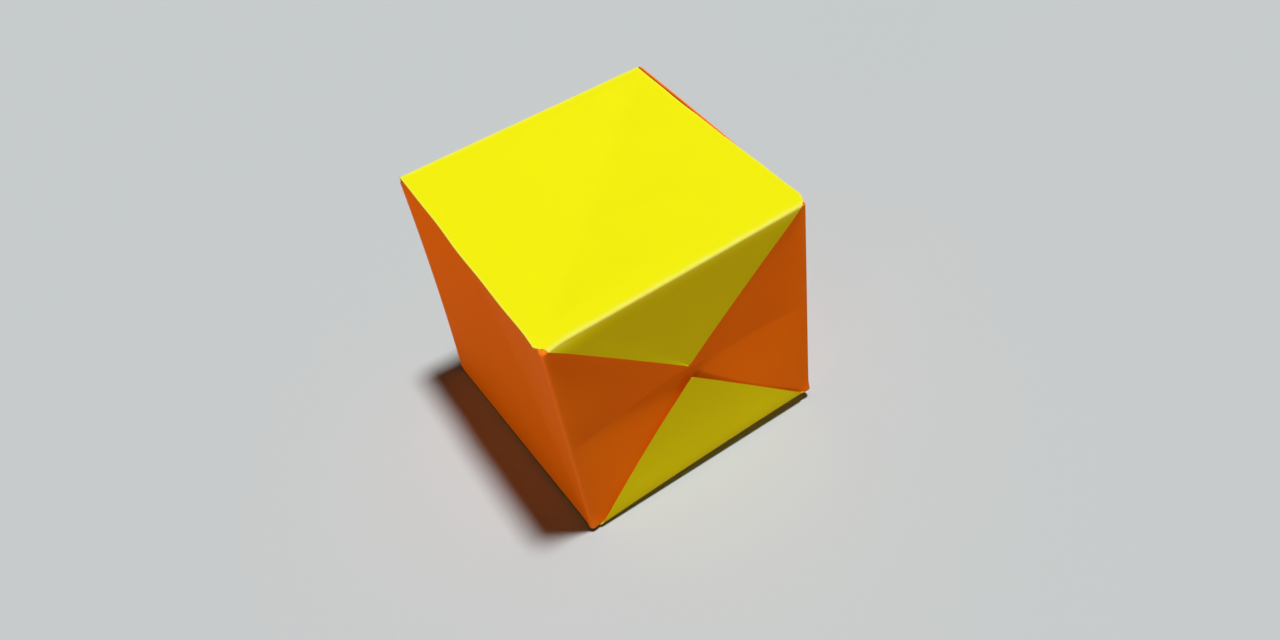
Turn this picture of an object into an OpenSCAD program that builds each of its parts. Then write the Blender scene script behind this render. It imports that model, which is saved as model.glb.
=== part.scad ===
// Origami magic box, folded from two square sheets of paper.
// Each sheet is folded along its diagonal into a strip with pointed ends, and each strip
// is bent round three faces of a cube. The yellow strip makes the bottom, the back and the
// lid, and its two tips lie over the front. The orange strip makes the left side, the front
// and the right side, and its two tips lie over the back.
// The frame has +Z up and the front towards -Y, with the origin in the middle of the bottom.

/* [Sheets] */
// Side of the square sheet that each strip is folded from
sheet = 150; // [75:1:300]
// Thickness of a folded strip, a few plies of paper
strip_t = 0.3; // [0.2:0.05:0.4]

/* [Folds] */
// Outside radius of every fold
fold_r = 0.5; // [0.45:0.05:0.6]
// Slip between the two strips where one lies over the other
slip = 0.1; // [0.06:0.01:0.3]
// Length of strip that the folds take from each tip
take_up = 0.3; // [0:0.1:1]
// Width of the blunt end of a tip
tip_blunt = 0.6; // [0.2:0.1:2]
// How far the point of a front tip stands off the front
tip_lift = 0.4; // [0.2:0.1:1]

/* [Creases] */
// Depth of the buckle along the diagonal crease of the left side
side_buckle = 3.7; // [0:0.1:5]
// Depth of the valley along the middle crease of the front
front_valley = 1; // [0.4:0.1:2]
// How far the middle crease of the front starts below the middle, at the left
crease_drop = 1.3; // [0:0.1:5]
// Sag of the lid along its diagonal crease
lid_sag = 0.5; // [0:0.1:1]
// How far the bottom bellies down below its folds, so that the edges stand off the table
base_belly = 0.7; // [0:0.1:1.5]
// Length over which the bottom runs down from a fold to its belly
belly_run = 12; // [6:1:20]

/* [Strip edges] */
// How far the lid widens at each front corner
lid_flare = 0.8; // [0:0.1:1]
// How far the rim of the right side climbs at the back and drops at the front
rim_rise = 0.9; // [0:0.1:1.5]

/* [Hidden] */

orange = "#F2660F";
yellow = "#F7EF1A";

// A square folded to its diagonal four times gives a strip a quarter of the diagonal wide
strip_len = sheet * sqrt(2);
strip_w = strip_len / 4;
// One strip lies outside the other by this much
step = strip_t + slip;
// Outside length of a panel from fold to fold, so that the other strip fits between
panel = strip_w + 2 * step;
half = panel / 2;
depth = panel + step;
height = panel;
// What the three panels leave of the strip is shared by its two tips
tip_len = (strip_len - 3 * panel) / 2 - take_up;
// The slanted edges of a tip start this far before its fold
clip = strip_w / 2 - tip_len;

front_y = -depth / 2 + step;
back_y = depth / 2 - step;
// Heights are measured from the surface that the belly of the bottom rests on
base_z = base_belly;
top_z = base_z + height;
low_z = base_z + step;
rim_z = low_z + strip_w;
mid_z = low_z + strip_w / 2;

// Developed length of half a fold, from its middle line to its flat panel
half_fold = fold_r * PI / 4;
// Distance from the corner of a tip's fold to the first full width of its panel
shoulder = fold_r + clip - half_fold;
// The lid stays flat over the rims of the sides
lid_rim = side_buckle + 2 * strip_t + slip;
// Lean of a front tip that keeps its point close to the front's valley
lean = atan(front_valley / half - tip_lift / tip_len);
// Largest value of s (1 - s^3), the run of the side's buckle along its crease
buckle_peak = 3 / 4 * pow(1 / 4, 1 / 3);

fold_steps = 4;
columns = 16;
side_rows = 16;
front_rows = 12;
rim_rows = 4;
lid_cells = 12;

function mix(a, b, f) = a + (b - a) * f;

// Rows round a fold about c, each an outside point and the direction into the sheet
function fold_rows(c, a0, a1, n) =
    [for (i = [0:n]) let (a = mix(a0, a1, i / n), d = [cos(a), sin(a)]) [c + fold_r * d, -d]];

// How far a tip's slanted edges have cut into the strip at each row of half a fold
function fold_cut(i, n) = clip - half_fold * i / n;

// A solid sheet between two grids of points, outside and inside, with its long and short edges
module sheet_solid(outer, inner) {
    rows = len(outer);
    cols = len(outer[0]);
    function at(side, i, j) = (side * rows + i) * cols + j;
    points = [for (grid = [outer, inner], row = grid, p = row) p];
    skin = [for (i = [0:rows - 2], j = [0:cols - 2]) each [
        [at(0, i, j), at(0, i + 1, j), at(0, i, j + 1)],
        [at(0, i + 1, j), at(0, i + 1, j + 1), at(0, i, j + 1)],
        [at(1, i, j), at(1, i, j + 1), at(1, i + 1, j)],
        [at(1, i + 1, j), at(1, i, j + 1), at(1, i + 1, j + 1)]]];
    long_edges = [for (i = [0:rows - 2]) each [
        [at(0, i, 0), at(1, i, 0), at(1, i + 1, 0)],
        [at(0, i, 0), at(1, i + 1, 0), at(0, i + 1, 0)],
        [at(0, i, cols - 1), at(1, i + 1, cols - 1), at(1, i, cols - 1)],
        [at(0, i, cols - 1), at(0, i + 1, cols - 1), at(1, i + 1, cols - 1)]]];
    short_edges = [for (j = [0:cols - 2]) each [
        [at(0, 0, j), at(0, 0, j + 1), at(1, 0, j + 1)],
        [at(0, 0, j), at(1, 0, j + 1), at(1, 0, j)],
        [at(0, rows - 1, j), at(1, rows - 1, j + 1), at(0, rows - 1, j + 1)],
        [at(0, rows - 1, j), at(1, rows - 1, j), at(1, rows - 1, j + 1)]]];
    polyhedron(points, concat(skin, long_edges, short_edges));
}

// Inward push of the left side: two facets that meet in a valley along the diagonal
function buckle(s, q) = side_buckle / buckle_peak * min(s, q) * (1 - pow(s, 3));

// Inward push of the front: a valley along the middle, fading towards both side folds
function valley(s, q) = front_valley * (1 - abs(2 * q - 1)) * (1 - pow(2 * s - 1, 4));

// Downward push of the lid: a shallow valley from the front left to the back right corner
function sag(s, q) = 4 * lid_sag * min(s * q, (1 - s) * (1 - q));

// A row of the sleeve: outside point, inward direction, the bottom, middle and top heights,
// and the inward push of each column
function sleeve_row(at, cut, middle, rim, push) =
    [at[0], at[1], low_z + cut, middle, rim - cut, push];

still = [for (j = [0:columns]) 0];

left_rows = concat(
    [for (i = [0:fold_steps / 2]) sleeve_row(
        fold_rows([-half + fold_r, depth / 2 - fold_r], 135, 180, fold_steps / 2)[i],
        fold_cut(i, fold_steps / 2), mid_z, rim_z, still)],
    [for (i = [0:side_rows]) let (s = 1 - i / side_rows) sleeve_row(
        [[-half, mix(front_y + fold_r, depth / 2 - shoulder, s)], [1, 0]],
        0, mid_z - crease_drop * (1 - s), rim_z, [for (j = [0:columns]) buckle(s, j / columns)])]);

front_fold_rows = [for (at = fold_rows([-half + fold_r, front_y + fold_r], 180, 270, fold_steps))
    sleeve_row(at, 0, mid_z - crease_drop, rim_z, still)];

panel_rows = [for (i = [1:front_rows - 1]) let (s = i / front_rows) sleeve_row(
    [[mix(-half + fold_r, half - fold_r, s), front_y], [0, 1]],
    0, mid_z - crease_drop * (1 - s), rim_z - rim_rise * s,
    [for (j = [0:columns]) valley(s, j / columns)])];

right_fold_rows = [for (at = fold_rows([half - fold_r, front_y + fold_r], 270, 360, fold_steps))
    sleeve_row(at, 0, mid_z, rim_z - rim_rise, still)];

right_rows = concat(
    [for (i = [1:rim_rows]) let (s = i / rim_rows) sleeve_row(
        [[half, mix(front_y + fold_r, depth / 2 - shoulder, s)], [-1, 0]],
        0, mid_z, rim_z + rim_rise * (2 * s - 1), still)],
    [for (i = [0:fold_steps / 2]) sleeve_row(
        fold_rows([half - fold_r, depth / 2 - fold_r], 0, 45, fold_steps / 2)[i],
        fold_cut(fold_steps / 2 - i, fold_steps / 2), mid_z, rim_z + rim_rise, still)]);

// The left side, the front and the right side in one bent strip
module orange_sleeve() {
    rows = concat(left_rows, [for (i = [1:fold_steps]) front_fold_rows[i]],
                  panel_rows, right_fold_rows, right_rows);
    function level(row, q) = q < 0.5 ? mix(row[2], row[3], 2 * q) : mix(row[3], row[4], 2 * q - 1);
    function spot(row, j, in) = let (p = row[0] + row[1] * (row[5][j] + in))
        [p[0], p[1], level(row, j / columns)];
    color(orange) sheet_solid(
        [for (row = rows) [for (j = [0:columns]) spot(row, j, 0)]],
        [for (row = rows) [for (j = [0:columns]) spot(row, j, strip_t)]]);
}

// Half of a fold and the flat tip beyond it. The outside corner of the fold is the origin,
// the tip hangs along -Z and its outside faces -Y.
module tip(base_half, lean_deg) {
    rows = fold_rows([fold_r, -fold_r], 135, 180 + lean_deg, fold_steps);
    end = rows[fold_steps];
    run = tip_len - fold_r * (45 + lean_deg) * PI / 180;
    along = run * [end[1][1], -end[1][0]];
    outside = concat([for (row = rows) row[0]], [end[0] + along]);
    inside = concat([end[0] + along + strip_t * end[1]],
                    [for (i = [fold_steps:-1:0]) rows[i][0] + strip_t * rows[i][1]]);
    start_z = rows[0][0][1];
    end_z = min(outside[fold_steps + 1][1], inside[0][1]);
    intersection() {
        rotate([90, 0, 90]) linear_extrude(2 * base_half, center = true)
            polygon(concat(outside, inside));
        rotate([90, 0, 0]) linear_extrude(2 * half, center = true)
            polygon([[-base_half, start_z], [base_half, start_z],
                     [tip_blunt / 2, end_z], [-tip_blunt / 2, end_z]]);
    }
}

// A tip of the sleeve, laid over the back from a side's back edge
module sleeve_tip(rim) {
    translate([-half, depth / 2, (low_z + rim) / 2])
        mirror([0, 1, 0]) rotate([0, -90, 0]) tip((rim - low_z) / 2 - clip, 0);
}

module orange_left_tip() {
    color(orange) sleeve_tip(rim_z);
}

module orange_right_tip() {
    color(orange) mirror([1, 0, 0]) sleeve_tip(rim_z + rim_rise);
}

// The bottom, with its belly, and the back in one bent strip
module yellow_tray() {
    rows = concat(
        fold_rows([-depth / 2 + fold_r, base_z + fold_r], 225, 270, fold_steps / 2),
        [for (y = [-depth / 2 + belly_run, back_y - belly_run]) [[y, base_z - base_belly], [0, 1]]],
        fold_rows([back_y - fold_r, base_z + fold_r], 270, 360, fold_steps),
        fold_rows([back_y - fold_r, top_z - fold_r], 0, 45, fold_steps / 2));
    outside = [for (row = rows) row[0]];
    inside = [for (i = [len(rows) - 1:-1:0]) rows[i][0] + strip_t * rows[i][1]];
    edge_y = outside[0][0];
    color(yellow) intersection() {
        rotate([90, 0, 90]) linear_extrude(strip_w, center = true)
            polygon(concat(outside, inside));
        linear_extrude(top_z) polygon([
            [-strip_w / 2, back_y], [-strip_w / 2, -depth / 2 + shoulder],
            [-strip_w / 2 + clip, edge_y], [strip_w / 2 - clip, edge_y],
            [strip_w / 2, -depth / 2 + shoulder], [strip_w / 2, back_y]]);
    }
}

// The lid: flat round its rim, with half a fold at its back and at its front
module yellow_lid() {
    back_rows = fold_rows([back_y - fold_r, top_z - fold_r], 45, 90, fold_steps / 2);
    tip_rows = fold_rows([-depth / 2 + fold_r, top_z - fold_r], 90, 135, fold_steps / 2);
    first_y = back_y - lid_rim;
    last_y = -depth / 2 + shoulder;
    rows = concat(
        [for (row = back_rows) [row, 0, -1]],
        [for (i = [0:lid_cells]) let (s = i / lid_cells)
            [[[mix(first_y, last_y + lid_rim, s), top_z], [0, -1]], 0, s]],
        [[[[last_y, top_z], [0, -1]], 0, -1]],
        [for (i = [0:fold_steps / 2]) [tip_rows[i], fold_cut(fold_steps / 2 - i, fold_steps / 2), -1]]);
    function flare_left(y) = lid_flare * (back_y - y) / (back_y - last_y);
    function flare_right(y) = lid_flare * max(0, (back_y + last_y) / 2 - y) / ((back_y - last_y) / 2);
    function sides(row) = let (y = max(row[0][0][0], last_y))
        [-strip_w / 2 - flare_left(y) + row[1], strip_w / 2 + flare_right(y) - row[1]];
    function spread(row) = let (x = sides(row)) concat([x[0]],
        [for (j = [0:lid_cells]) mix(x[0] + lid_rim, x[1] - lid_rim, j / lid_cells)], [x[1]]);
    function push(row, j) = row[2] < 0 || j < 1 || j > lid_cells + 1 ? 0
        : sag(row[2], (j - 1) / lid_cells);
    function spot(row, x, down) = let (p = row[0][0] + row[0][1] * down) [x, p[0], p[1]];
    color(yellow) sheet_solid(
        [for (row = rows) let (x = spread(row))
            [for (j = [0:lid_cells + 2]) spot(row, x[j], push(row, j))]],
        [for (row = rows) let (x = spread(row))
            [for (j = [0:lid_cells + 2]) spot(row, x[j], push(row, j) + strip_t)]]);
}

module yellow_lid_tip() {
    color(yellow) translate([0, -depth / 2, top_z]) tip(strip_w / 2 + lid_flare - clip, lean);
}

module yellow_base_tip() {
    color(yellow) translate([0, -depth / 2, base_z]) mirror([0, 0, 1]) tip(strip_w / 2 - clip, lean);
}

orange_sleeve();
orange_left_tip();
orange_right_tip();
yellow_tray();
yellow_lid();
yellow_lid_tip();
yellow_base_tip();
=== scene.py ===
"""Origami magic box: two pointed paper strips, bent round a cube and laid through each other.

Each strip starts as a flat sheet in its own plane: x runs along the strip from the middle of its
middle panel, y across it and z into the box. A Geometry Nodes tree folds the sheet, a matrix sets
it down in the frame, and it is then skewed a little, as a box folded by hand is. The sheets are cut
where a joint needs it and replace the CAD nodes.
"""

import logging
import math
from dataclasses import dataclass
from enum import Enum
from typing import Any

import bmesh
import bpy
import numpy as np
from mathutils import Matrix, Quaternion, Vector


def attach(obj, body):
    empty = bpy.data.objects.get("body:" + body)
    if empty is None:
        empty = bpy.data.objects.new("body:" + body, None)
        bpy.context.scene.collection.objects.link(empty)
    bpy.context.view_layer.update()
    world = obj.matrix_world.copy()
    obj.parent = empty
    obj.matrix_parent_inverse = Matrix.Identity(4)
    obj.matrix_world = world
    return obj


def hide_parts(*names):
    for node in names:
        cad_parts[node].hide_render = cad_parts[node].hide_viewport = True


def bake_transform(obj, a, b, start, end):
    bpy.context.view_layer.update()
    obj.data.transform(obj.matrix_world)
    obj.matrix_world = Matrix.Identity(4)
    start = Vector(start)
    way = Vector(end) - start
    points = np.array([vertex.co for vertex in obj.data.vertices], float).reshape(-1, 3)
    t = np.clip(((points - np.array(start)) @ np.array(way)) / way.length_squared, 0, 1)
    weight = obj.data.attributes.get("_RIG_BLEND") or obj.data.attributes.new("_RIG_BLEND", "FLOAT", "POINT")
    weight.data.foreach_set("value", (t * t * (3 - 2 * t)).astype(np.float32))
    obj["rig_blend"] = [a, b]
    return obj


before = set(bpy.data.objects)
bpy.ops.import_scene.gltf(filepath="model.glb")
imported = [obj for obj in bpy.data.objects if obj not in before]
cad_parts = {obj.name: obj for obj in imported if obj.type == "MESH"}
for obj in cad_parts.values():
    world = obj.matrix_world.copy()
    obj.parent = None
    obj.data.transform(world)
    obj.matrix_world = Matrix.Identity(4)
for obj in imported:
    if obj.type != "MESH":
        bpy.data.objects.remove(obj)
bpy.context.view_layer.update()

MM = 0.001
# Points of a sheet that are nearer to each other than this are one
WELD = 0.002 * MM
LOG = logging.getLogger("magic_box")


def linear(hex_colour: str) -> tuple[float, float, float, float]:
    """Turn an sRGB hex colour into linear values.

    Args:
        hex_colour: Colour as "#RRGGBB".

    Returns:
        Linear red, green and blue, with an alpha of 1.
    """
    parts = [int(hex_colour[i:i + 2], 16) / 255 for i in (1, 3, 5)]
    # The sRGB curve has a straight foot and then follows a power
    red, green, blue = (c / 12.92 if c <= 0.04045 else ((c + 0.055) / 1.055) ** 2.4 for c in parts)
    return red, green, blue, 1.0


def add_node(tree: bpy.types.NodeTree, kind: str, inputs: dict[Any, Any] | None = None,
             **settings: Any) -> bpy.types.Node:
    """Add one node with its settings and links.

    Args:
        tree: Tree that gets the node.
        kind: Blender's name for the kind of node.
        inputs: Value, or output socket to link, for each input by name or number.
        settings: Properties of the node itself.

    Returns:
        The new node.
    """
    node = tree.nodes.new(kind)
    for name, value in settings.items():
        setattr(node, name, value)
    for key, value in (inputs or {}).items():
        if isinstance(value, bpy.types.NodeSocket):
            tree.links.new(value, node.inputs[key])
        else:
            node.inputs[key].default_value = value
    return node


def smooth_min(a: np.ndarray, b: np.ndarray, width: float = 0.03) -> np.ndarray:
    """Give the smaller of two values, rounded where they are nearly the same.

    Args:
        a: First values.
        b: Second values.
        width: How far apart the values are where the rounding ends.

    Returns:
        The rounded minimum.
    """
    near = np.clip((width - np.abs(a - b)) / width, 0, 1)
    return np.minimum(a, b) - near ** 2 * width / 4


@dataclass(frozen=True)
class PaperFinish:
    """Dyed drawing paper, machine made and uncoated.

    The dye is even but for a faint cloudiness where the fibres lie thicker, the surface is matt
    with a fine tooth, and folds and raw edges show the paler fibres of the core. The same pale
    colour also serves as a painted highlight, where folds and edges catch the light.
    """

    name: str
    slot: str
    colour: str
    cloud: str
    core_and_highlight: str
    roughness: float = 0.7
    gloss: float = 0.05
    tooth: float = 0.35 * MM
    tooth_depth: float = 0.05 * MM
    tooth_strength: float = 0.25
    tooth_grit: float = 0.6
    cloud_size: float = 9 * MM
    chip_size: float = 0.8 * MM
    chip_range: tuple[float, float] = (0.3, 0.7)
    chip_least: float = 0.45

    def material(self) -> bpy.types.Material:
        """Build the paper's material, or find it if it is there already.

        Returns:
            The material, which reads the sheet's own attribute of rubbed wear and painted highlight.
        """
        if self.name in bpy.data.materials:
            return bpy.data.materials[self.name]
        material = bpy.data.materials.new(self.name)
        material.use_nodes = True
        tree = material.node_tree
        tree.nodes.clear()
        place = add_node(tree, "ShaderNodeTexCoord").outputs["Object"]
        cloud = add_node(tree, "ShaderNodeTexNoise",
                         {"Vector": place, "Scale": 1 / self.cloud_size, "Detail": 3.0})
        dye = add_node(tree, "ShaderNodeMix", {0: cloud.outputs["Fac"], 6: linear(self.colour),
                                               7: linear(self.cloud)}, data_type="RGBA")
        # The pale core, which is both rubbed wear and a painted highlight on folds and edges, shows in small
        # chips, so a pale fold is a broken line
        chips = add_node(tree, "ShaderNodeTexNoise",
                         {"Vector": place, "Scale": 1 / self.chip_size, "Detail": 4.0})
        low, high = self.chip_range
        spread = add_node(tree, "ShaderNodeMapRange", {0: chips.outputs["Fac"], 1: low, 2: high,
                                                       3: self.chip_least, 4: 1.0})
        wear_and_highlight = add_node(tree, "ShaderNodeAttribute", attribute_name="wear_and_highlight")
        paled = add_node(tree, "ShaderNodeMath", {0: wear_and_highlight.outputs["Fac"], 1: spread.outputs[0]},
                         operation="MULTIPLY")
        # Mix in the pale colour where the sheet is rubbed, and as a painted highlight on folds and edges
        colour = add_node(tree, "ShaderNodeMix", {0: paled.outputs[0], 6: dye.outputs[2],
                                                  7: linear(self.core_and_highlight)}, data_type="RGBA")
        # Paper tooth is about a tenth of a millimetre and is drawn coarser to show in the render
        tooth = add_node(tree, "ShaderNodeTexNoise",
                         {"Vector": place, "Scale": 1 / self.tooth, "Detail": 5.0,
                          "Roughness": self.tooth_grit})
        bump = add_node(tree, "ShaderNodeBump",
                        {"Strength": self.tooth_strength, "Distance": self.tooth_depth,
                         "Height": tooth.outputs["Fac"]})
        paper = add_node(tree, "ShaderNodeBsdfPrincipled",
                         {"Base Color": colour.outputs[2], "Roughness": self.roughness,
                          "Specular IOR Level": self.gloss, "Normal": bump.outputs[0]})
        add_node(tree, "ShaderNodeOutputMaterial", {"Surface": paper.outputs[0]})
        return material


class Dye(Enum):
    """The two papers of the box."""

    # The core colour is the pale colour of rubbed fibres, and is also a painted highlight on folds and edges
    YELLOW = PaperFinish("dyed_yellow_paper", "yellow_paper",
                         colour="#EDEB08", cloud="#EAE50C", core_and_highlight="#F2EF8C")
    ORANGE = PaperFinish("dyed_orange_paper", "orange_paper",
                         colour="#FF8206", cloud="#FD7A05", core_and_highlight="#FF9A45")


@dataclass(frozen=True)
class StripSizes:
    """Sizes that both strips share, in metres.

    Those that follow from the sheet are worked out as in the CAD model. The front's valley and the
    lift of the tips are larger than there, and only this script has the plies and what bends the
    box out of true.
    """

    sheet: float = 150 * MM
    strip_t: float = 0.3 * MM
    ply_t: float = 0.17 * MM
    ply_gap: float = 0.01 * MM
    seam_gap: float = 0.35 * MM
    fold_r: float = 0.5 * MM
    slip: float = 0.1 * MM
    take_up: float = 0.3 * MM
    tip_blunt: float = 0.6 * MM
    tip_lift: float = 1.05 * MM
    front_valley: float = 2.2 * MM
    base_belly: float = 0.7 * MM
    belly_run: float = 12 * MM
    # What bends the box out of true
    corner_back: float = 0.7 * MM
    corner_rise: float = 0.85 * MM
    corner_droop: float = 1.1 * MM
    droop_run: float = 5 * MM
    droop_power: int = 8
    front_gap: float = 2.0 * MM
    front_lean: float = 0.6 * MM
    left_lean: float = 0.4 * MM
    foot_out: float = 1.7 * MM

    @property
    def width(self) -> float:
        """Width of a strip, a quarter of the sheet's diagonal."""
        return self.sheet * math.sqrt(2) / 4

    @property
    def step(self) -> float:
        """Distance between the outsides of two strips that lie on each other."""
        return self.strip_t + self.slip

    @property
    def panel(self) -> float:
        """Outside length of a panel, which is the height of the box as well."""
        return self.width + 2 * self.step

    @property
    def half(self) -> float:
        """Half of a panel."""
        return self.panel / 2

    @property
    def depth(self) -> float:
        """Outside depth of the box over the tips."""
        return self.panel + self.step

    @property
    def tip_len(self) -> float:
        """Length of a tip from the middle of its fold."""
        return (4 * self.width - 3 * self.panel) / 2 - self.take_up

    @property
    def clip(self) -> float:
        """How far the slanted edges have cut into the strip at a tip's fold."""
        return self.width / 2 - self.tip_len

    @property
    def turn(self) -> float:
        """Developed length of a fold."""
        return self.fold_r * math.pi / 2

    @property
    def near(self) -> float:
        """Station where the middle panel ends and its fold starts."""
        return self.half - self.fold_r

    @property
    def end(self) -> float:
        """Station where an end panel starts."""
        return self.near + self.turn

    @property
    def far(self) -> float:
        """Station where an end panel ends and a tip's fold starts."""
        return self.end + 2 * self.near

    @property
    def mitre(self) -> float:
        """Station of the middle of a tip's fold."""
        return self.far + self.turn / 2

    @property
    def shoulder(self) -> float:
        """Station where the slanted edges of a tip start."""
        return self.mitre - self.clip

    @property
    def apex(self) -> float:
        """Station of a tip's blunt point."""
        return self.mitre + self.tip_len

    @property
    def top(self) -> float:
        """Height of the lid above the table."""
        return self.base_belly + self.panel

    @property
    def tip_dip(self) -> float:
        """How far the point of a front tip lies behind the plane of its fold."""
        return self.front_valley * self.tip_len / self.half - self.tip_lift

    def skewed(self, points: np.ndarray) -> np.ndarray:
        """Move points of a true box to where they are on a box folded by hand.

        The edge at the back left has its top further back and raised, and its foot splayed to the
        left. The lid's corner at the front left droops. The bottom edge of the front leans forward and
        rises from the left, so the box stands clear of the table at the right.

        Args:
            points: Points in the frame, one in each row.

        Returns:
            The moved points.
        """
        right = np.clip(points[:, 0] / self.panel + 0.5, 0, 1)
        back = np.clip(points[:, 1] / self.panel + 0.5, 0, 1)
        up = np.clip((points[:, 2] - self.base_belly) / self.panel, 0, 1)
        rise = self.corner_rise * (1 - right) * back * up
        front = np.clip(1 - back * self.panel / self.belly_run, 0, 1)
        # The foot of the front rises at once and then levels off to the right
        foot = 1 - (1 - right) ** 2
        gap = self.front_gap * foot * front * (1 - up) ** 2
        lean = (self.left_lean + (self.front_lean - self.left_lean) * foot) * front * (1 - up)
        away = self.panel * np.hypot(right, back) / self.droop_run
        # Only the lid and what is close under it droops
        droop = self.corner_droop * np.clip(1 - away, 0, 1) ** 2 * up ** self.droop_power
        shift = self.corner_back * (1 - right) * back * up - lean
        splay = -self.foot_out * (1 - right) * back * (1 - up) ** 2
        return points + np.column_stack([splay, shift, rise + gap - droop])


class FoldTree:
    """Geometry Nodes tree that cockles a flat strip a little and folds it four times."""

    FOLDS = ("Right Far", "Right Near", "Left Far", "Left Near")

    def __init__(self) -> None:
        """Build the tree with its named inputs."""
        self.one_fold = self._one_fold()
        self.tree = bpy.data.node_groups.new("folded_strip", "GeometryNodeTree")
        self.inputs: dict[str, str] = {}
        for name, kind in self._sockets():
            socket = self.tree.interface.new_socket(name, in_out="INPUT", socket_type=kind)
            self.inputs[name] = socket.identifier
        self.tree.interface.new_socket("Geometry", in_out="OUTPUT", socket_type="NodeSocketGeometry")
        self._fill()

    def _sockets(self) -> list[tuple[str, str]]:
        """List the tree's inputs.

        Returns:
            Name and kind of each input, in order.
        """
        number = "NodeSocketFloat"
        folds = [(f"{fold} {part}", number) for fold in self.FOLDS for part in ("Line", "Angle")]
        sizes = [(name, number) for name in ("Fold Radius", "Cockle Height", "Cockle Size", "Seed")]
        return [("Geometry", "NodeSocketGeometry"), *folds, *sizes, ("Paper", "NodeSocketMaterial")]

    @staticmethod
    def _one_fold() -> bpy.types.NodeTree:
        """Build the group that folds a flat sheet once.

        A point past the line slides back by its share of the fold's arc, which is its whole way past
        the line at most, and then turns about the fold's axis by the angle of that share.

        Returns:
            The group, whose Side input is 1 for a fold towards +x and -1 for one towards -x.
        """
        tree = bpy.data.node_groups.new("one_fold", "GeometryNodeTree")
        tree.interface.new_socket("Geometry", in_out="INPUT", socket_type="NodeSocketGeometry")
        for name in ("Line", "Angle", "Radius", "Side"):
            tree.interface.new_socket(name, in_out="INPUT", socket_type="NodeSocketFloat")
        tree.interface.new_socket("Geometry", in_out="OUTPUT", socket_type="NodeSocketGeometry")
        given = add_node(tree, "NodeGroupInput").outputs
        place = add_node(tree, "GeometryNodeInputPosition").outputs[0]
        x = add_node(tree, "ShaderNodeSeparateXYZ", {0: place}).outputs["X"]
        out = add_node(tree, "ShaderNodeMath", {0: x, 1: given["Side"]}, operation="MULTIPLY")
        past = add_node(tree, "ShaderNodeMath", {0: out.outputs[0], 1: given["Line"]},
                        operation="SUBTRACT")
        arc = add_node(tree, "ShaderNodeMath", {0: given["Radius"], 1: given["Angle"]},
                       operation="MULTIPLY")
        share = add_node(tree, "ShaderNodeClamp",
                         {"Value": past.outputs[0], "Min": 0.0, "Max": arc.outputs[0]})
        slide = add_node(tree, "ShaderNodeMath", {0: share.outputs[0], 1: given["Side"]},
                         operation="MULTIPLY")
        shift = add_node(tree, "ShaderNodeCombineXYZ", {"X": slide.outputs[0]})
        back = add_node(tree, "ShaderNodeVectorMath", {0: place, 1: shift.outputs[0]},
                        operation="SUBTRACT")
        line = add_node(tree, "ShaderNodeMath", {0: given["Line"], 1: given["Side"]},
                        operation="MULTIPLY")
        axis = add_node(tree, "ShaderNodeCombineXYZ", {"X": line.outputs[0], "Z": given["Radius"]})
        turn = add_node(tree, "ShaderNodeMath", {0: slide.outputs[0], 1: given["Radius"]},
                        operation="DIVIDE")
        folded = add_node(tree, "ShaderNodeVectorRotate", {"Vector": back.outputs[0],
                                                           "Center": axis.outputs[0],
                                                           "Angle": turn.outputs[0]},
                          rotation_type="Y_AXIS", invert=True)
        moved = add_node(tree, "GeometryNodeSetPosition", {"Geometry": given["Geometry"],
                                                           "Position": folded.outputs[0]})
        add_node(tree, "NodeGroupOutput", {0: moved.outputs[0]})
        return tree

    def _fill(self) -> None:
        """Chain the cockle, the four folds and the material."""
        tree = self.tree
        given = add_node(tree, "NodeGroupInput").outputs
        place = add_node(tree, "GeometryNodeInputPosition").outputs[0]
        point = add_node(tree, "ShaderNodeSeparateXYZ", {0: place}).outputs
        # All plies at one place of the strip cockle alike
        flat = add_node(tree, "ShaderNodeCombineXYZ", {"X": point["X"], "Y": point["Y"]})
        scale = add_node(tree, "ShaderNodeMath", {0: 1.0, 1: given["Cockle Size"]}, operation="DIVIDE")
        noise = add_node(tree, "ShaderNodeTexNoise", {"Vector": flat.outputs[0], "W": given["Seed"],
                                                      "Scale": scale.outputs[0], "Detail": 1.0},
                         noise_dimensions="4D")
        slack = add_node(tree, "GeometryNodeInputNamedAttribute", {"Name": "slack"}, data_type="FLOAT")
        # The noise runs from 0 to 1, so half is taken off to cockle the sheet both ways
        centred = add_node(tree, "ShaderNodeMath", {0: noise.outputs[0], 1: 0.5}, operation="SUBTRACT")
        masked = add_node(tree, "ShaderNodeMath", {0: centred.outputs[0], 1: slack.outputs[0]},
                          operation="MULTIPLY")
        height = add_node(tree, "ShaderNodeMath", {0: masked.outputs[0], 1: given["Cockle Height"]},
                          operation="MULTIPLY")
        offset = add_node(tree, "ShaderNodeCombineXYZ", {"Z": height.outputs[0]})
        geometry = add_node(tree, "GeometryNodeSetPosition", {"Geometry": given["Geometry"],
                                                              "Offset": offset.outputs[0]}).outputs[0]
        for fold in self.FOLDS:
            side = 1.0 if fold.startswith("Right") else -1.0
            geometry = add_node(tree, "GeometryNodeGroup", {
                "Geometry": geometry, "Line": given[f"{fold} Line"], "Angle": given[f"{fold} Angle"],
                "Radius": given["Fold Radius"], "Side": side}, node_tree=self.one_fold).outputs[0]
        real = add_node(tree, "GeometryNodeRealizeInstances", {0: geometry})
        dressed = add_node(tree, "GeometryNodeSetMaterial", {"Geometry": real.outputs[0],
                                                             "Material": given["Paper"]})
        add_node(tree, "NodeGroupOutput", {0: dressed.outputs[0]})

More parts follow.
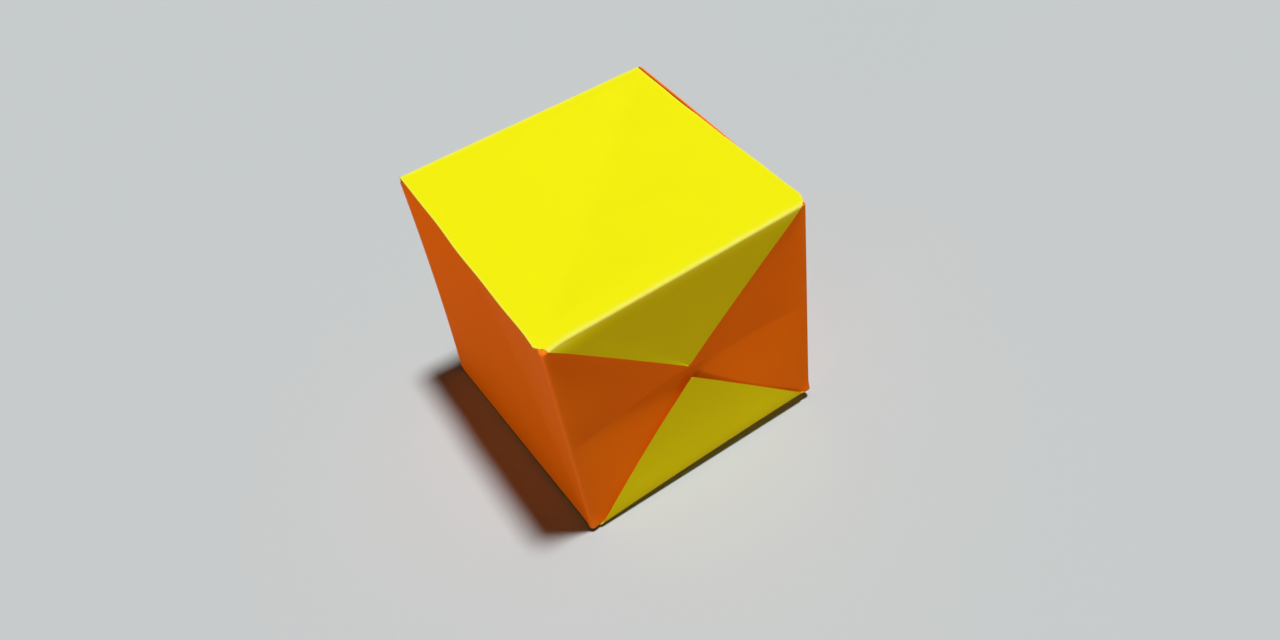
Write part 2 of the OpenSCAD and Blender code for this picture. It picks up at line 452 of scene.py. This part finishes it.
    def fold(self, piece: bpy.types.Object, values: dict[str, Any]) -> None:
        """Fold a flat sheet and leave it as a plain mesh.

        Args:
            piece: Object with the flat sheet's mesh.
            values: Value of each of the tree's inputs, by name.
        """
        modifier = piece.modifiers.new("fold", "NODES")
        modifier.node_group = self.tree
        for name, value in values.items():
            modifier[self.inputs[name]] = value
        graph = bpy.context.evaluated_depsgraph_get()
        folded = bpy.data.meshes.new_from_object(piece.evaluated_get(graph),
                                                 preserve_all_data_layers=True, depsgraph=graph)
        flat = piece.data
        piece.modifiers.clear()
        piece.data = folded
        folded.name = piece.name
        bpy.data.meshes.remove(flat)


@dataclass
class FoldedStrip:
    """A strip of folded paper with pointed ends. The two strips of the box build on it."""

    sizes: StripSizes
    folder: FoldTree
    finish: PaperFinish
    cell: float = 1.2 * MM
    fold_cells: int = 8
    row_steps: tuple[float, ...] = (-0.7 * MM, -0.3 * MM, 0.3 * MM, 0.7 * MM)
    column_steps: tuple[float, ...] = (0.12 * MM, 0.3 * MM, 0.6 * MM)
    cockle: float = 0.3 * MM
    cockle_size: float = 24 * MM
    slack_run: float = 8 * MM
    # The pale lines on folds and edges are partly rubbed wear and partly a painted highlight
    fold_wear_and_highlight: float = 0.55
    fold_wear_and_highlight_width: float = 0.6 * MM
    stray: float = 0.08 * MM
    stray_waves: tuple[float, float] = (41, 97)
    stray_drift: float = 3
    edge_wear_and_highlight: float = 0.35
    pale_line_width: float = 0.2 * MM
    crease_wear: float = 0.0
    corner_trim: float = 1.0
    pressed: float = 0.06
    pressed_width: float = 0.4 * MM
    sharp: float = math.radians(35)
    seed: float = 0.0

    @property
    def place(self) -> Matrix:
        """Give the matrix that sets the folded strip down in the frame."""
        raise NotImplementedError

    def edges(self, x: np.ndarray) -> tuple[np.ndarray, np.ndarray, np.ndarray]:
        """Give where the strip's two edges and its middle crease lie across it, for stations x."""
        raise NotImplementedError

    def push(self, x: np.ndarray, q: np.ndarray) -> np.ndarray:
        """Give how far the sheet is pushed into the box at stations x and shares q of the width."""
        raise NotImplementedError

    def cut(self, x: np.ndarray) -> np.ndarray:
        """Cut the tips to a point, with a rounded corner where a slanted edge starts.

        Args:
            x: Stations along the strip.

        Returns:
            How far each side of the strip is cut back there.
        """
        s = self.sizes
        clip = s.clip * self.corner_trim
        # The corner is a parabola that goes over into the slant at the fold
        corner = clip * np.clip((np.abs(x) - s.mitre) / (2 * clip) + 1, 0, 1) ** 2
        slant = np.interp(np.abs(x), [s.mitre, s.apex], [0, (s.width - s.tip_blunt) / 2 - clip])
        return corner + slant

    def inset(self, x: np.ndarray, q: np.ndarray) -> np.ndarray:
        """Give how far from the nearer edge of the strip the points at stations x and shares q lie."""
        low, _, high = self.edges(x)
        return np.minimum(q, 1 - q) * np.abs(high - low)

    def stations(self, start: float, stop: float) -> np.ndarray:
        """List the rows of a sheet, close together at the folds.

        Args:
            start: Station of the first row.
            stop: Station of the last row.

        Returns:
            The stations in rising order.
        """
        s = self.sizes
        marks = [0.0, s.near, s.end, s.shoulder, s.far, s.far + s.turn, s.apex]
        marks = sorted({-m for m in marks} | set(marks))
        rows: list[float] = []
        for low, high in zip(marks, marks[1:]):
            is_fold = math.isclose(high - low, s.turn, rel_tol=1e-6)
            count = self.fold_cells if is_fold else max(1, round((high - low) / self.cell))
            rows.extend(np.linspace(low, high, count, endpoint=False))
        rows.append(marks[-1])
        beside = [m + step for m in marks for step in self.row_steps]
        within = [x for x in rows + beside if start < x < stop]
        # Rounded to a tenth of a micrometre, rows that fall together are one
        return np.unique(np.round([start, *within, stop], 7))

    def shares(self, low: float, high: float) -> np.ndarray:
        """List the columns of a sheet, close together at its edges and its middle.

        Args:
            low: Share of the first column.
            high: Share of the last column.

        Returns:
            The shares of the width, in rising order.
        """
        width = self.sizes.width
        fine = np.array(self.column_steps) / width
        # An odd count puts a column on the middle crease
        even = np.linspace(0, 1, 2 * round(width / self.cell / 2) + 1)
        both = np.concatenate([even, fine, 1 - fine, 0.5 - fine[:2], 0.5 + fine[:2]])
        within = both[(both > low) & (both < high)]
        return np.unique(np.round([low, *within, high], 6))

    def wear_and_highlight(self, x: np.ndarray, q: np.ndarray) -> np.ndarray:
        """Pale the paper on the folds, the long edges and the middle crease: rubbed dye, and on the folds
        and edges a painted highlight as well.

        Args:
            x: Stations along the strip.
            q: Shares of its width.

        Returns:
            How far the pale core colour shows there, as wear and painted highlight, from 0 to 1.
        """
        s = self.sizes
        middles = [sign * m for sign in (-1, 1) for m in (s.near + s.turn / 2, s.mitre)]
        # A fold made by hand isn't quite straight
        long, short = self.stray_waves
        stray = self.stray * (np.sin(long * q + self.stray_drift * x / s.near) + np.sin(short * q))
        fold = np.min([np.abs(x + stray - m) for m in middles], axis=0)
        edge = self.inset(x, q)
        rubbed_and_lit = np.where(np.abs(x) < s.shoulder, self.edge_wear_and_highlight, 0)
        crease = np.abs(q - 0.5) * s.width
        # Folds and edges are paled by rubbed wear and by a painted highlight, the crease by wear only
        return np.max([self.fold_wear_and_highlight * np.exp(-(fold / self.fold_wear_and_highlight_width) ** 2),
                       rubbed_and_lit * np.exp(-(edge / self.pale_line_width) ** 2),
                       self.crease_wear * np.exp(-(crease / self.pale_line_width) ** 2)], axis=0)

    def slack(self, x: np.ndarray, q: np.ndarray) -> np.ndarray:
        """Hold the sheet at its folds and edges, so that it cockles between them.

        Args:
            x: Stations along the strip.
            q: Shares of its width.

        Returns:
            How free the sheet is there, from 0 to 1.
        """
        s = self.sizes
        middles = [sign * m for sign in (-1, 1) for m in (s.near + s.turn / 2, s.mitre, s.apex)]
        fold = np.min([np.abs(x - m) for m in middles], axis=0)
        edge = np.minimum(q, 1 - q) * s.width
        return np.clip(np.minimum(fold, edge) / self.slack_run, 0, 1)

    def _slab(self, mesh: bmesh.types.BMesh, x: np.ndarray, q: np.ndarray, top: float,
              bottom: float) -> None:
        """Add one closed sheet to a mesh.

        Args:
            mesh: Mesh that gets the sheet.
            x: Station of each point of the grid, by row and column.
            q: Share of the width of each point.
            top: Depth of the sheet's outside below the strip's outside.
            bottom: Depth of its inside.
        """
        wear_and_highlight_layer = mesh.verts.layers.float["wear_and_highlight"]
        slack_layer = mesh.verts.layers.float["slack"]
        low, middle, high = self.edges(x)
        y = np.where(q < 0.5, low + (middle - low) * 2 * q, middle + (high - middle) * (2 * q - 1))
        z = self.push(x, q)
        # The folded edges of a tip are pressed thin
        pressed = np.clip(self.inset(x, q) / self.pressed_width, self.pressed, 1)
        share = np.where(np.abs(x) > self.sizes.shoulder, pressed, 1)
        wear_and_highlight, slack = self.wear_and_highlight(x, q), self.slack(x, q)
        rows, columns = x.shape
        grids = []
        for depth in (top, bottom):
            at = z + top + (depth - top) * share
            grid = [[mesh.verts.new((x[i, j], y[i, j], at[i, j])) for j in range(columns)]
                    for i in range(rows)]
            for i in range(rows):
                for j in range(columns):
                    grid[i][j][wear_and_highlight_layer] = wear_and_highlight[i, j]
                    grid[i][j][slack_layer] = slack[i, j]
            for i in range(rows - 1):
                for j in range(columns - 1):
                    mesh.faces.new((grid[i][j], grid[i + 1][j], grid[i + 1][j + 1], grid[i][j + 1]))
            grids.append(grid)
        outer, inner = grids
        border = [(i, 0) for i in range(rows)] + [(rows - 1, j) for j in range(1, columns)]
        border += [(i, columns - 1) for i in range(rows - 2, -1, -1)]
        border += [(0, j) for j in range(columns - 2, 0, -1)]
        for (a, b), (c, d) in zip(border, border[1:] + border[:1]):
            mesh.faces.new((outer[a][b], outer[c][d], inner[c][d], inner[a][b]))

    def sheet(self, name: str, start: float, stop: float) -> bpy.types.Object:
        """Make a stretch of the strip: its outer ply, and the two plies folded in behind it.

        Args:
            name: Name of the piece.
            start: Station where the stretch starts.
            stop: Station where it ends.

        Returns:
            The folded piece, in the frame.
        """
        s = self.sizes
        mesh = bmesh.new()
        # This attribute carries rubbed wear and painted highlight to the material
        mesh.verts.layers.float.new("wear_and_highlight")
        mesh.verts.layers.float.new("slack")
        rows = self.stations(start, stop)
        self._slab(mesh, *np.meshgrid(rows, self.shares(0, 1), indexing="ij"), 0, s.ply_t)
        # The inner plies end in raw edges, which slant from the shoulders towards the middle
        if start < s.shoulder and stop > -s.shoulder:
            seam = s.seam_gap / 2 / s.width
            for columns in (self.shares(0, 0.5 - seam), self.shares(0.5 + seam, 1)):
                x, q = np.meshgrid(rows, columns, indexing="ij")
                limit = s.shoulder - np.minimum(q, 1 - q) * s.width
                self._slab(mesh, np.clip(x, -limit, limit), q, s.ply_t + s.ply_gap, s.strip_t)
        bmesh.ops.remove_doubles(mesh, verts=mesh.verts, dist=WELD)
        bmesh.ops.recalc_face_normals(mesh, faces=mesh.faces)
        flat = bpy.data.meshes.new(name)
        mesh.to_mesh(flat)
        mesh.free()
        piece = bpy.data.objects.new(name, flat)
        bpy.context.collection.objects.link(piece)
        self.folder.fold(piece, {
            "Right Far Line": s.far, "Right Far Angle": math.pi / 2,
            "Right Near Line": s.near, "Right Near Angle": math.pi / 2,
            "Left Far Line": s.far, "Left Far Angle": math.pi / 2,
            "Left Near Line": s.near, "Left Near Angle": math.pi / 2,
            "Fold Radius": s.fold_r, "Cockle Height": self.cockle, "Cockle Size": self.cockle_size,
            "Seed": self.seed, "Paper": self.finish.material()})
        piece.data.transform(self.place)
        spots = np.empty(3 * len(piece.data.vertices))
        piece.data.vertices.foreach_get("co", spots)
        piece.data.vertices.foreach_set("co", s.skewed(spots.reshape(-1, 3)).ravel())
        piece.data.update()
        piece.data.shade_smooth()
        piece.data.set_sharp_from_angle(angle=self.sharp)
        LOG.info("%s: %d faces", name, len(piece.data.polygons))
        return piece


@dataclass
class OrangeStrip(FoldedStrip):
    """The strip round the left side, the front and the right side, with its tips over the back."""

    side_buckle: float = 3.7 * MM
    crease_drop: float = 1.5 * MM
    crease_sway: float = 0.9 * MM
    snake_run: float = 1.2
    crease_bite: float = 0.15
    bite_power: int = 6
    valley_power: int = 4
    valley_fade: float = 0.4
    crease_wear: float = 0.1
    fold_wear_and_highlight: float = 0.3
    corner_trim: float = 0.75
    rim_rise: float = 0.75 * MM
    rim_tuck: float = 0.45
    bare_power: float = 2.5
    foot_drop: float = 0.7 * MM
    back_foot: float = 1.2
    toe: float = 0.25 * MM
    toe_run: float = 1.6 * MM
    corner_width: float = 3.2 * MM
    corner_bead: float = 0.3 * MM
    corner_curl: float = 0.2 * MM
    corner_depth: float = 0.9 * MM
    corner_lift: float = 0.7 * MM
    lift_power: int = 4
    blend_reach: float = 1.4 * MM
    seed: float = 3.0

    @property
    def place(self) -> Matrix:
        """Set the middle panel at the front: x to the right, y down and z to the back."""
        s = self.sizes
        return Matrix(((1, 0, 0, 0), (0, 0, 1, -s.depth / 2 + s.step), (0, -1, 0, 0), (0, 0, 0, 1)))

    @property
    def low(self) -> float:
        """Height of the strip's bottom edge."""
        return self.sizes.base_belly + self.sizes.step

    @property
    def middle(self) -> float:
        """Height of the strip's middle line."""
        return self.low + self.sizes.width / 2

    @property
    def rim(self) -> float:
        """Height of the strip's top edge."""
        return self.low + self.sizes.width

    def edges(self, x: np.ndarray) -> tuple[np.ndarray, np.ndarray, np.ndarray]:
        """Lower the feet, lead the crease across the front and raise the rim.

        Args:
            x: Stations along the strip.

        Returns:
            Places of the bottom, the crease and the rim there, along -Z.
        """
        s = self.sizes
        front = np.interp(x, [-s.near, s.near], [0, -self.rim_tuck])
        rise = np.where(x < s.end, front, self.bare(x)) * self.rim_rise
        marks = [-s.shoulder, -s.end, 0, s.near, s.end, s.shoulder]
        foot = np.interp(x, marks, [self.back_foot, 0, 0, 1, 1, 0]) * self.foot_drop
        drop = np.interp(x, [-s.shoulder, -s.end, -s.near, s.near], [0, 1, 1, 0]) * self.crease_drop
        # The crease snakes once over the left part of the front
        snake = np.clip((x + s.near) / (self.snake_run * s.near), 0, 1)
        drop += self.crease_sway * np.sin(2 * math.pi * snake)
        rise += self.corner_lift * self.corner(x) ** self.lift_power
        cut = self.cut(x)
        return -(self.low - foot + cut), -(self.middle - drop), -(self.rim + rise - cut)

    def bare(self, x: np.ndarray) -> np.ndarray:
        """Raise the rim of the right side out of the lid towards the back.

        Args:
            x: Stations along the strip.

        Returns:
            Share of the rim's rise there, which is below 0 where the lid covers the rim.
        """
        s = self.sizes
        run = np.clip((x - s.end) / (s.shoulder - s.end), 0, 1)
        paled = 1 - 2 * (1 - run) ** self.bare_power
        return np.maximum(paled, -self.rim_tuck)

    def corner(self, x: np.ndarray) -> np.ndarray:
        """Give how near stations x are to the fold at the left of the front, from 0 to 1 on it."""
        away = np.clip(np.abs(x + self.sizes.near + self.sizes.turn / 2) / self.corner_width, 0, 1)
        return (1 + np.cos(math.pi * away)) / 2

    def push(self, x: np.ndarray, q: np.ndarray) -> np.ndarray:
        """Buckle the left side along its diagonal and dent the front along its middle crease.

        Args:
            x: Stations along the strip.
            q: Shares of its width, from the bottom.

        Returns:
            How far the sheet lies inside the plane of its panel.
        """
        s = self.sizes
        run = np.clip((-x - s.end) / (s.shoulder - s.end), 0, 1)
        # The most that run * (1 - run ** 3) comes to
        peak = 0.75 * 0.25 ** (1 / 3)
        buckle = self.side_buckle / peak * smooth_min(run, q) * (1 - run ** 3)
        across = np.clip((x + s.near) / (2 * s.near), 0, 1)
        # The valley has a sharp crease, is held at both folds and grows shallower to the right
        inward = 1 - np.abs(2 * q - 1)
        bent = (1 - self.crease_bite) * inward + self.crease_bite * inward ** self.bite_power
        held = 1 - (2 * across - 1) ** self.valley_power
        valley = s.front_valley * bent * held * (1 - self.valley_fade * across)
        # The top of the corner at the left of the front is crumpled, and shows at the lid's cut corner
        near = np.clip(1 - (1 - q) * s.width / self.corner_depth, 0, 1)
        bead = 4 * self.corner_bead * near * (1 - near)
        crumple = self.corner(x) * (self.corner_curl * near ** 2 - bead)
        # The feet of both front corners stand out a little under the slanted edges of the base tip
        away = ((np.abs(x) - s.near) / self.toe_run) ** 2 + (q * s.width / self.toe_run) ** 2
        toe = self.toe * np.exp(-away)
        return np.where(x < -s.end, buckle, valley) + crumple - toe

    def build(self) -> None:
        """Make the sleeve and its two tips, and hang them on their bodies."""
        s = self.sizes
        sleeve = self.sheet("orange_sleeve_sheet", -s.shoulder, s.shoulder)
        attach(sleeve, "box")
        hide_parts("orange_sleeve")
        tips = (("left", -1, -s.apex, -s.shoulder), ("right", 1, s.shoulder, s.apex))
        for side, sign, start, stop in tips:
            tip = self.sheet(f"orange_{side}_tip_sheet", start, stop)
            corner = Vector(s.skewed(np.array([[sign * s.half, s.depth / 2, self.middle]]))[0])
            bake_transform(tip, "box", f"{side}_tip", start=corner - Vector((0, self.blend_reach, 0)),
                     end=corner - Vector((sign * self.blend_reach, 0, 0)))
            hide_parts(f"orange_{side}_tip")


@dataclass
class YellowStrip(FoldedStrip):
    """The strip round the bottom, the back and the lid, with its tips over the front."""

    cockle: float = 0.2 * MM
    lid_sag: float = 2.2 * MM
    lid_flare: float = 0.8 * MM
    back_flare: float = 0.2 * MM
    corner_cut: float = 1.5 * MM
    corner_step: float = 0.6 * MM
    lid_rim: float = 3 * MM
    base_margin: float = 4 * MM
    tip_bulge: float = 0.15 * MM
    bulge_run: float = 2.5 * MM
    lid_lean: float = 0.35 * MM
    lid_ease: float = 0.6
    puff: float = 1.5
    puff_run: float = 7 * MM
    wander: float = 0.1 * MM
    wander_run: float = 45 * MM
    wander_mix: float = 0.6
    wander_ratio: float = 2.7
    wander_phase: float = 1.0
    foot_wear_and_highlight: float = 0.2
    blend_reach: float = 1.4 * MM
    lid_reach: float = 0.2 * MM
    seed: float = 11.0

    @property
    def place(self) -> Matrix:
        """Set the middle panel at the back: x up, y to the left and z to the front."""
        s = self.sizes
        return Matrix(((0, -1, 0, 0), (0, 0, -1, s.depth / 2 - s.step),
                       (1, 0, 0, s.base_belly + s.half), (0, 0, 0, 1)))

    def edges(self, x: np.ndarray) -> tuple[np.ndarray, np.ndarray, np.ndarray]:
        """Flare the lid over the sides, let its edges wander and cut back its front left corner.

        Args:
            x: Stations along the strip.

        Returns:
            Places of the left edge, the middle and the right edge there, along -X.
        """
        s = self.sizes
        left = np.interp(x, [0, s.near, s.shoulder], [0, self.back_flare, self.lid_flare])
        right = np.interp(x, [(s.end + s.shoulder) / 2, s.shoulder], [0, self.lid_flare])
        # A fold made by hand wanders a little along the lid
        phase = 2 * math.pi * x / self.wander_run
        finer = self.wander_mix * np.sin(self.wander_ratio * phase + self.wander_phase)
        fade = s.near / 4
        marks = [s.end, s.end + fade, s.shoulder - fade, s.shoulder]
        sway = self.wander * (np.sin(phase) + finer) * np.interp(x, marks, [0, 1, 1, 0])
        # At the blunt point the flare is used up
        keep = np.interp(x, [s.mitre, s.apex], [1, 0])
        # The lid's corner at the left is cut back by a sharp step
        step = s.mitre - self.corner_step
        stepped = np.interp(x, [step - self.corner_cut, step, s.mitre, s.apex],
                            [0, self.corner_cut, self.corner_cut, (s.width - s.tip_blunt) / 2])
        left = left * keep + s.width / 2 - np.where(x > 0, stepped, self.cut(x))
        right = right * keep + s.width / 2 - self.cut(x)
        return left + sway, np.zeros_like(x), -(right + sway)

    def push(self, x: np.ndarray, q: np.ndarray) -> np.ndarray:
        """Sag the lid along its diagonal, belly the bottom and bow the front tips.

        Args:
            x: Stations along the strip.
            q: Shares of its width, from the left.

        Returns:
            How far the sheet lies inside the plane of its panel.
        """
        s = self.sizes
        first = s.end + self.lid_rim - s.fold_r
        last = s.shoulder - self.lid_rim
        run = np.clip((x - first) / (last - first), 0, 1)
        margin = self.lid_rim / s.width
        across = np.clip((q - margin) / (1 - 2 * margin), 0, 1)
        # Both products come to a quarter in the middle, where the lid is deepest
        sag = 4 * self.lid_sag * smooth_min(run * across, (1 - run) * (1 - across))
        # The bottom bellies down to the table, but a margin at the front stays up
        ramp = s.belly_run - s.fold_r
        marks = [s.end, s.end + ramp, s.far - ramp, s.far - self.base_margin]
        belly = s.base_belly * np.interp(-x, marks, [0, 1, 1, 0])
        # A tip bulges out under its fold and then bows in towards the front's valley
        out = np.clip(np.abs(x) - s.far - s.turn, 0, None)
        bulge = np.clip(out / self.bulge_run, 0, 1)
        bow = np.clip(out / (s.apex - s.far - s.turn), 0, 1)
        # The lid's tip is puffed up at its left corner
        puff = 1 + np.where(x > 0, self.puff * np.exp(-(q * s.width / self.puff_run) ** 2), 0)
        # It leans in further than the base tip, and more evenly
        deep = s.tip_dip + self.tip_bulge + np.where(x > 0, self.lid_lean, 0)
        ease = np.where(x > 0, self.lid_ease, 1)
        dip = deep * bow * (1 + ease - ease * bow) - self.tip_bulge * puff * bulge * (2 - bulge)
        return np.maximum(sag, 0) - belly + dip

    def wear_and_highlight(self, x: np.ndarray, q: np.ndarray) -> np.ndarray:
        """Keep the wear and the painted highlight on the fold at the foot of the front faint."""
        s = self.sizes
        return super().wear_and_highlight(x, q) * np.interp(x, [-s.far, -s.shoulder], [self.foot_wear_and_highlight, 1])

    def slack(self, x: np.ndarray, q: np.ndarray) -> np.ndarray:
        """Keep the bottom flat, which stands on the table."""
        s = self.sizes
        return np.where((x < -s.end) & (x > -s.far), 0, super().slack(x, q))

    def build(self) -> None:
        """Make the tray, the lid and the two front tips, and hang them on their bodies."""
        s = self.sizes
        reach = self.blend_reach
        seam = s.end + 2 * reach
        front, back = -s.depth / 2, s.depth / 2 - s.step
        base, top = s.base_belly, s.top
        tray = self.sheet("yellow_tray_sheet", -s.shoulder, seam)
        # This bend is upright, so no point of the bottom comes into it
        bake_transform(tray, "box", "lid", start=(0, back, top - reach), end=(0, back, top))
        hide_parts("yellow_tray")
        lid = self.sheet("yellow_lid_sheet", seam, s.apex)
        # This bend is below the fold's arc, so an opened tip doesn't press the lid onto the orange rim
        under = top - s.fold_r
        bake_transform(lid, "lid", "lid_tip", start=(0, front + self.lid_reach, under),
                 end=(0, front, under - reach))
        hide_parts("yellow_lid", "yellow_lid_tip")
        tip = self.sheet("yellow_base_tip_sheet", -s.apex, -s.shoulder)
        corner = Vector(s.skewed(np.array([[0, front, base]]))[0])
        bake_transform(tip, "box", "base_tip", start=corner + Vector((0, reach, 0)),
                 end=corner + Vector((0, 0, reach)))
        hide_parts("yellow_base_tip")


@dataclass(frozen=True)
class Studio:
    """Pale floor, an overhead lamp with a soft edge, a warm card at table height and the camera."""

    floor_size: float = 4.0
    floor_colour: str = "#C0C5C6"
    floor_bounce: str = "#B09D8C"
    floor_roughness: float = 0.9
    lamp_colour: str = "#FFFFFF"
    lamp_from: tuple[float, float, float] = (0.19, -0.06, 1.0)
    lamp_level: float = 1.07
    lamp_spread: float = 7.0
    card_from: tuple[float, float, float] = (-1.0, -0.54, 0.0)
    card_colour: str = "#FFDCB8"
    card_level: float = 0.55
    card_spread: float = 20.0
    surround: str = "#FFE0C8"
    surround_level: float = 0.01
    backdrop: str = "#E2E4E3"
    eye: tuple[float, float, float] = (-61.5 * MM, -136.1 * MM, 183.1 * MM)
    target: tuple[float, float, float] = (-0.24 * MM, -9.4 * MM, 27.7 * MM)
    roll: float = -10.18
    lens: float = 30.46
    sensor: float = 36.0
    clip_start: float = 5 * MM

    def build(self) -> None:
        """Set up the floor, the light, the surround and the camera."""
        self._floor()
        self._light()
        self._camera()
        bpy.context.scene.view_settings.view_transform = "Standard"

    @staticmethod
    def _seen(tree: bpy.types.NodeTree) -> bpy.types.NodeSocket:
        """Add the nodes that tell a surface that is seen, if only in gloss or glass, from its light.

        Args:
            tree: Shader tree that gets the nodes.

        Returns:
            Output that is 1 where the surface is seen and 0 where it only lights the box.
        """
        ray = add_node(tree, "ShaderNodeLightPath").outputs
        direct = add_node(tree, "ShaderNodeMath", {0: ray["Is Camera Ray"], 1: ray["Is Glossy Ray"]},
                          operation="MAXIMUM")
        either = add_node(tree, "ShaderNodeMath", {0: direct.outputs[0], 1: ray["Is Transmission Ray"]},
                          operation="MAXIMUM")
        return either.outputs[0]

    def _floor(self) -> None:
        """Lay a matt pale floor, which lights the box with the warmer tone of a room."""
        material = bpy.data.materials.new("pale_floor")
        material.use_nodes = True
        tree = material.node_tree
        tree.nodes.clear()
        # A plain matt board, so the floor shows only its tone and the box's shadow
        tone = add_node(tree, "ShaderNodeMix", {0: self._seen(tree), 6: linear(self.floor_bounce),
                                                7: linear(self.floor_colour)}, data_type="RGBA")
        board = add_node(tree, "ShaderNodeBsdfPrincipled",
                         {"Base Color": tone.outputs[2], "Roughness": self.floor_roughness,
                          "Specular IOR Level": 0.0})
        add_node(tree, "ShaderNodeOutputMaterial", {"Surface": board.outputs[0]})
        half = self.floor_size / 2
        mesh = bpy.data.meshes.new("floor")
        mesh.from_pydata([(-half, -half, 0), (half, -half, 0), (half, half, 0), (-half, half, 0)], [],
                         [(0, 1, 2, 3)])
        mesh.materials.append(material)
        floor = bpy.data.objects.new("floor", mesh)
        bpy.context.collection.objects.link(floor)

    def _light(self) -> None:
        """Hang the lamp overhead, stand a warm card to the left and set the surround."""
        self._lamp("overhead_lamp", self.lamp_from, self.lamp_colour, self.lamp_level,
                   self.lamp_spread)
        self._lamp("warm_card", self.card_from, self.card_colour, self.card_level, self.card_spread)
        world = bpy.data.worlds.new("surround")
        world.use_nodes = True
        tree = world.node_tree
        tree.nodes.clear()
        light = add_node(tree, "ShaderNodeBackground", {"Color": linear(self.surround),
                                                        "Strength": self.surround_level})
        shown = add_node(tree, "ShaderNodeBackground", {"Color": linear(self.backdrop),
                                                        "Strength": 1.0})
        mixed = add_node(tree, "ShaderNodeMixShader", {0: self._seen(tree), 1: light.outputs[0],
                                                       2: shown.outputs[0]})
        add_node(tree, "ShaderNodeOutputWorld", {"Surface": mixed.outputs[0]})
        bpy.context.scene.world = world

    @staticmethod
    def _lamp(name: str, source: tuple[float, float, float], colour: str, level: float,
              spread: float) -> None:
        """Add a far lamp.

        Args:
            name: Name of the lamp.
            source: Direction that its light comes from.
            colour: Colour of the light.
            level: Brightness of a white surface that faces it.
            spread: Angle that the lamp fills, in degrees.
        """
        lamp = bpy.data.lights.new(name, "SUN")
        lamp.color = linear(colour)[:3]
        lamp.energy = math.pi * level
        lamp.angle = math.radians(spread)
        hung = bpy.data.objects.new(name, lamp)
        hung.rotation_mode = "QUATERNION"
        hung.rotation_quaternion = Vector(source).to_track_quat("Z", "Y")
        bpy.context.collection.objects.link(hung)

    def _camera(self) -> None:
        """Set the camera at the photograph's place, turned a little about its own axis."""
        camera = bpy.data.cameras.new("camera")
        camera.lens = self.lens
        camera.sensor_width = self.sensor
        camera.clip_start = self.clip_start
        stand = bpy.data.objects.new("camera", camera)
        stand.location = self.eye
        stand.rotation_mode = "QUATERNION"
        level = (Vector(self.target) - Vector(self.eye)).to_track_quat("-Z", "Y")
        stand.rotation_quaternion = level @ Quaternion((0, 0, 1), math.radians(self.roll))
        bpy.context.collection.objects.link(stand)
        bpy.context.scene.camera = stand


def main() -> None:
    """Build the studio and the two strips."""
    logging.basicConfig(level=logging.INFO, format="%(name)s: %(message)s")
    Studio().build()
    sizes = StripSizes()
    folder = FoldTree()
    OrangeStrip(sizes, folder, Dye.ORANGE.value).build()
    YellowStrip(sizes, folder, Dye.YELLOW.value).build()


if __name__ == "__main__":
    main()
